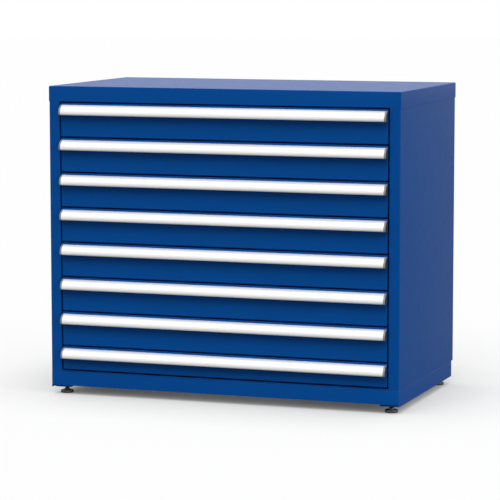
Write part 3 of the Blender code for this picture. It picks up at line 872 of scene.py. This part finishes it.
class CABINET_OT_feet(CabinetOperator):
    """Make the levelling feet: a moulded pad with its hub, and a threaded stem"""

    bl_idname = "cabinet.feet"
    bl_label = "Levelling Feet"

    def make(self):
        s = settings("foot")
        for name in FEET:
            low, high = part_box(name)
            place = ((low.x + high.x) / 2, (low.y + high.y) / 2, low.z)
            r = s.pad_round
            path = [
                (s.pad - 2 * r, 0), (s.pad, 0), (s.pad, s.pad_height),
                (s.hub + r, s.pad_height + r), (s.hub, s.hub_height),
                (s.stem - r / 2, s.hub_height),
            ]
            pad = turned(folded(path, r, FOLD_STEPS), s.steps, place)
            piece(f"{name}_pad", [pad], name, "black_pad", [name])
            rise = high.z - low.z
            foot = s.hub_height - r
            stem = threaded(s.stem, s.thread_depth, s.thread_pitch, foot, rise, s.steps, place)
            piece(f"{name}_stem", [stem], name, "blackened_steel")


class CABINET_OT_drawer_fronts(CabinetOperator):
    """Make the drawer fronts, each a shallow pan folded on all four sides"""

    bl_idname = "cabinet.drawer_fronts"
    bl_label = "Drawer Fronts"

    def make(self):
        s = settings("front")
        for number in DRAWERS:
            low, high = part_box(f"drawer_{number}_front")
            path = [(3 * s.bend, low.y), (0, low.y), (0, high.y), (s.lip, high.y)]
            face = pan(low.xz, high.xz, bent_sheet(path, s), s.bend, s.bend_steps, "Y")
            piece(f"drawer_{number}_face", [face], f"drawer_{number}", "blue_powder_coat",
                  [f"drawer_{number}_front"])


class CABINET_OT_pulls(CabinetOperator):
    """Make the aluminium pulls, each with a grey band at both ends round a sunk middle painted
    dark as shade
    """

    bl_idname = "cabinet.pulls"
    bl_label = "Pulls"

    def make(self):
        s = settings("pull")
        # The arc's first points lie inside the shoulder's rounding
        past_shoulder = 4
        inside = s.wall / 2
        for number in DRAWERS:
            body = f"drawer_{number}"
            node = f"drawer_{number}_pull"
            low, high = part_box(node)
            run = high.y - low.y - s.cap_rim
            origin = (high.y, low.z + s.cap_drop)
            hood = hood_line(run, s.drop, s.roll, s.steps)
            clear = hood[past_shoulder:]
            shoulder = folded([(0, -s.leg), hood[0], clear[0]], s.shoulder, HIDDEN_FOLD_STEPS)
            line = np.vstack([shoulder[:-1], clear])
            left, right = low.x + s.inset, high.x - s.inset
            bar = extruded(section(line, -s.wall) + origin, "X", (left + s.cap, right - s.cap))
            piece(f"{node}_hood", [bar], body, "satin_aluminium", [node])
            rim = grown_hood(run, s.cap_rim, s)
            band = section(rim, -s.cap_wall) + origin
            # The sunk middle of each cap is painted shade: a dark bluish plate where the hood's
            # end shows a shaded hollow
            web = np.vstack([grown_hood(run, -inside, s), [(0, -s.cap_drop)]]) + origin
            caps = []
            shade_webs = []
            for end, into in ((left, 1), (right, -1)):
                start = end + into * s.cap
                sunk = end + into * s.cap_pocket
                caps.append(pillow(band, "X", start, end, s.cap_round))
                shade_webs.append(pillow(web, "X", start, sunk, s.cap_round / 2))
            piece(f"{node}_caps", caps, body, "grey_end_cap")
            piece(f"{node}_cap_shade_webs", shade_webs, body, "painted_shade_end_cap")


class CABINET_OT_drawer_boxes(CabinetOperator):
    """Make the drawer boxes with notched walls, and the slide member on either side"""

    bl_idname = "cabinet.drawer_boxes"
    bl_label = "Drawer Boxes"

    def make(self):
        s = settings("box")
        r = settings("slide")
        for number in DRAWERS:
            node = f"drawer_{number}_box"
            low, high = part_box(node)
            slide_low, slide_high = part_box(f"drawer_{number}_right_slide")
            web = slide_high.x + r.sheet + r.web_gap
            half = web - r.width
            path = [(-half, high.z), (-half, low.z), (half, low.z), (half, high.z)]
            tub = folded(path, s.bend, FOLD_STEPS)
            inset = s.sheet / 2
            shapes = [extruded(section(tub, -s.sheet), "Y", (low.y + inset, high.y - inset))]
            rows = int((half - s.notch) / s.pitch)
            across = np.arange(rows, -rows - 1, -1)[:, None] * s.pitch
            across = across + np.array([1, 1, -1, -1]) * s.notch / 2
            depth = high.z - np.array([0, 1, 1, 0]) * s.notch_depth + 0 * across
            notched = np.stack([across, depth], -1).reshape(-1, 2)
            wall = np.vstack([tub, notched])
            for start in (low.y, high.y - s.sheet):
                shapes.append(extruded(wall, "Y", (start, start + s.sheet)))
            body = f"drawer_{number}"
            piece(f"drawer_{number}_tub", shapes, body, "blue_powder_coat",
                  [node])
            level = (slide_low.z + slide_high.z) / 2
            tall = r.height / 2 - 2 * (r.sheet + r.race)
            lips = 2 * r.sheet + r.web_gap + r.flange_gap
            outline = channel(tall, r.width, lips, r.sheet, r.bend)
            members = []
            for _, side in SIDES:
                placed = slide_section(outline, web, level, side)
                members.append(extruded(placed, "Y", (low.y, high.y)))
            piece(f"drawer_{number}_members", members, body, "zinc_plated_steel")


class CABINET_OT_slides(CabinetOperator):
    """Make the slides' middle members, with their balls and the strips that hold them"""

    bl_idname = "cabinet.slides"
    bl_label = "Slides"

    def make(self):
        s = settings("slide")
        flange = s.height / 2 - s.sheet - s.race
        back = s.sheet + s.web_gap
        outline = channel(flange, back, s.width - s.flange_gap, s.sheet, s.bend)
        levels = np.array([flange + s.race / 2, flange - s.sheet - s.race / 2])
        levels = np.concatenate([levels, -levels])
        latitude = np.radians([-65, -25, 25, 65])
        rings = s.ball * np.stack([np.cos(latitude), np.sin(latitude)], 1)
        ball = turned(rings, s.ball_sides)
        wide, thick = s.retainer / 2, s.retainer_sheet / 2
        strip = np.array([(-wide, -thick), (wide, -thick), (wide, thick), (-wide, thick)])
        for number in DRAWERS:
            for name, side in SIDES:
                node = f"drawer_{number}_{name}_slide"
                low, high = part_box(node)
                web = max(abs(low.x), abs(high.x)) + back
                level = (low.z + high.z) / 2
                x = side * (web - s.row)
                placed = slide_section(outline, web, level, side)
                shapes = [extruded(placed, "Y", (low.y, high.y))]
                shapes += [extruded(strip + (x, level + z), "Y", (low.y, high.y)) for z in levels]
                balls = int((high.y - low.y) / s.ball_pitch)
                along = low.y + (np.arange(balls) + 0.5) * s.ball_pitch
                rows, y = np.meshgrid(level + levels, along)
                places = np.stack([x + 0 * y, y, rows], -1).reshape(-1, 3)
                shapes.append(repeated(ball, places))
                piece(f"{node}_member", shapes, f"drawer_{number}_slides", "zinc_plated_steel",
                      [node])


class CABINET_OT_carried_over(CabinetOperator):
    """Finish the solids whose shapes are shown as they are"""

    bl_idname = "cabinet.carried_over"
    bl_label = "Carried-over Solids"

    def make(self):
        coated = ["back_panel", "bottom_pan"]
        plated = ["left_runner_frame", "right_runner_frame"]
        plated += [f"drawer_{number}_partition" for number in DRAWERS]
        for names, finish in ((coated, "blue_powder_coat"), (plated, "zinc_plated_steel")):
            for name in names:
                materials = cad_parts[name].data.materials
                materials.clear()
                materials.append(material(finish))


def bearing(turn, rise):
    """The unit vector that looks along +Y, turned to the right and raised."""
    level = math.cos(rise)
    return Vector((math.sin(turn) * level, math.cos(turn) * level, math.sin(rise)))


def soft_lamp(name, turn, rise, spread, strength):
    """A far lamp that looks as wide as its spread, so that its shadows have soft edges."""
    light = bpy.data.lights.new(name, "SUN")
    light.angle = spread
    light.energy = strength
    away = bearing(math.pi - turn, rise)
    added(name, light).rotation_euler = away.to_track_quat("Z", "Y").to_euler()


class CABINET_OT_stage(CabinetOperator):
    """Set up the floor, the room, the lamps and the camera"""

    bl_idname = "cabinet.stage"
    bl_label = "Stage"

    def make(self):
        s = settings("stage")
        self.make_floor(s)
        self.make_room(s)
        soft_lamp("key_lamp", s.key_turn, s.key_rise, s.key_spread, s.key_power)
        soft_lamp("fill_lamp", s.fill_turn, s.fill_rise, s.key_spread, s.fill_power)
        self.make_camera(s)
        bpy.context.scene.view_settings.view_transform = "Standard"

    def make_floor(self, s):
        """A wide pale floor: a disc whose rings have the points (r cos a, r sin a)."""
        rings = [(radius, FLOOR_LEVEL) for radius in np.geomspace(*FLOOR_RADII, FLOOR_RINGS)]
        points, quads, caps = turned(rings, FLOOR_SIDES)
        mesh = meshed("floor", points, quads, [caps[0][::-1]])
        floor = added("floor", mesh)
        mesh.materials.append(self.floor_finish(s))

    def floor_finish(self, s):
        """Plain grey to the light, and near white to the camera, with a soft shade painted round
        the cabinet's feet.

        The white is glow A^fade + lift, where A is 1 in the open and falls to 0 where all that
        is above a point of the floor lies within the shade's reach.
        """
        made = bpy.data.materials.new("floor_finish")
        nodes = Nodes(made)
        # Painted shade: an occlusion mask, not a lamp, darkens the seen floor's glow near the
        # cabinet
        near = nodes.node("ShaderNodeAmbientOcclusion", {"Distance": s.shadow_reach})
        painted_shade = nodes.maths("POWER", near.outputs["AO"], s.shadow_fade)
        white = nodes.maths("MULTIPLY_ADD", painted_shade, s.floor_glow, s.floor_lift)
        glow = nodes.node("ShaderNodeEmission", {"Strength": white})
        seen = nodes.node("ShaderNodeBsdfDiffuse", {"Color": grey(s.floor_seen)})
        bright = nodes.node("ShaderNodeAddShader", {0: seen.outputs[0], 1: glow.outputs[0]})
        plain = nodes.node("ShaderNodeBsdfDiffuse", {"Color": grey(s.floor_shade)})
        path = nodes.node("ShaderNodeLightPath").outputs
        nodes.choose("ShaderNodeOutputMaterial", path["Is Camera Ray"], plain, bright)
        return made

    def make_room(self, s):
        """A white room for the camera and in reflections, and an even grey one as light."""
        world = bpy.data.worlds.new("room")
        bpy.context.scene.world = world
        nodes = Nodes(world)
        room = nodes.node("ShaderNodeBackground", {"Color": grey(1), "Strength": s.room})
        white = nodes.node("ShaderNodeBackground", {"Color": grey(1), "Strength": 1.0})
        path = nodes.node("ShaderNodeLightPath").outputs
        nodes.choose("ShaderNodeOutputWorld", nodes.seen_rays(path), room, white)

    def make_camera(self, s):
        """The camera, turned by yaw about +Z, tilted by pitch and rolled about its own axis."""
        camera = bpy.data.cameras.new("camera")
        camera.sensor_width = SENSOR_WIDTH
        camera.lens = s.lens
        camera.clip_end = SIGHT
        ahead = bearing(-s.yaw, s.pitch)
        right = Vector((math.cos(s.yaw), math.sin(s.yaw), 0))
        above = right.cross(ahead)
        turn = Matrix((right, above, -ahead)).transposed() @ Matrix.Rotation(s.roll, 3, "Z")
        made = added("camera", camera)
        made.matrix_world = Matrix.Translation(s.place) @ turn.to_4x4()
        bpy.context.scene.camera = made


OPERATORS = (
    CABINET_OT_top_cap,
    CABINET_OT_side_panels,
    CABINET_OT_rear_rivets,
    CABINET_OT_base_frame,
    CABINET_OT_feet,
    CABINET_OT_drawer_fronts,
    CABINET_OT_pulls,
    CABINET_OT_drawer_boxes,
    CABINET_OT_slides,
    CABINET_OT_carried_over,
    CABINET_OT_stage,
)


class VIEW3D_PT_cabinet(bpy.types.Panel):
    """Lists the operators, and the sizes and colours that they use"""

    bl_space_type = "VIEW_3D"
    bl_region_type = "UI"
    bl_category = "Cabinet"
    bl_label = "Microfilm Storage Cabinet"

    def draw(self, context):
        for operator in OPERATORS:
            self.layout.operator(operator.bl_idname)
        for name, group in SETTINGS.items():
            box = self.layout.box()
            box.label(text=name.capitalize())
            for key in group.__annotations__:
                box.prop(getattr(context.scene, f"cabinet_{name}"), key)


def register():
    for group in SETTINGS.values():
        bpy.utils.register_class(group)
    for name, group in SETTINGS.items():
        setattr(bpy.types.Scene, f"cabinet_{name}", PointerProperty(type=group))
    for operator in OPERATORS:
        bpy.utils.register_class(operator)
    bpy.utils.register_class(VIEW3D_PT_cabinet)


def unregister():
    bpy.utils.unregister_class(VIEW3D_PT_cabinet)
    for operator in reversed(OPERATORS):
        bpy.utils.unregister_class(operator)
    for name, group in SETTINGS.items():
        delattr(bpy.types.Scene, f"cabinet_{name}")
        bpy.utils.unregister_class(group)


def main():
    register()
    for operator in OPERATORS:
        step = operator.bl_idname.split(".")[1]
        if getattr(bpy.ops.cabinet, step)() != {"FINISHED"}:
            raise RuntimeError(f"{operator.bl_label} didn't finish")


if __name__ == "__main__":
    main()
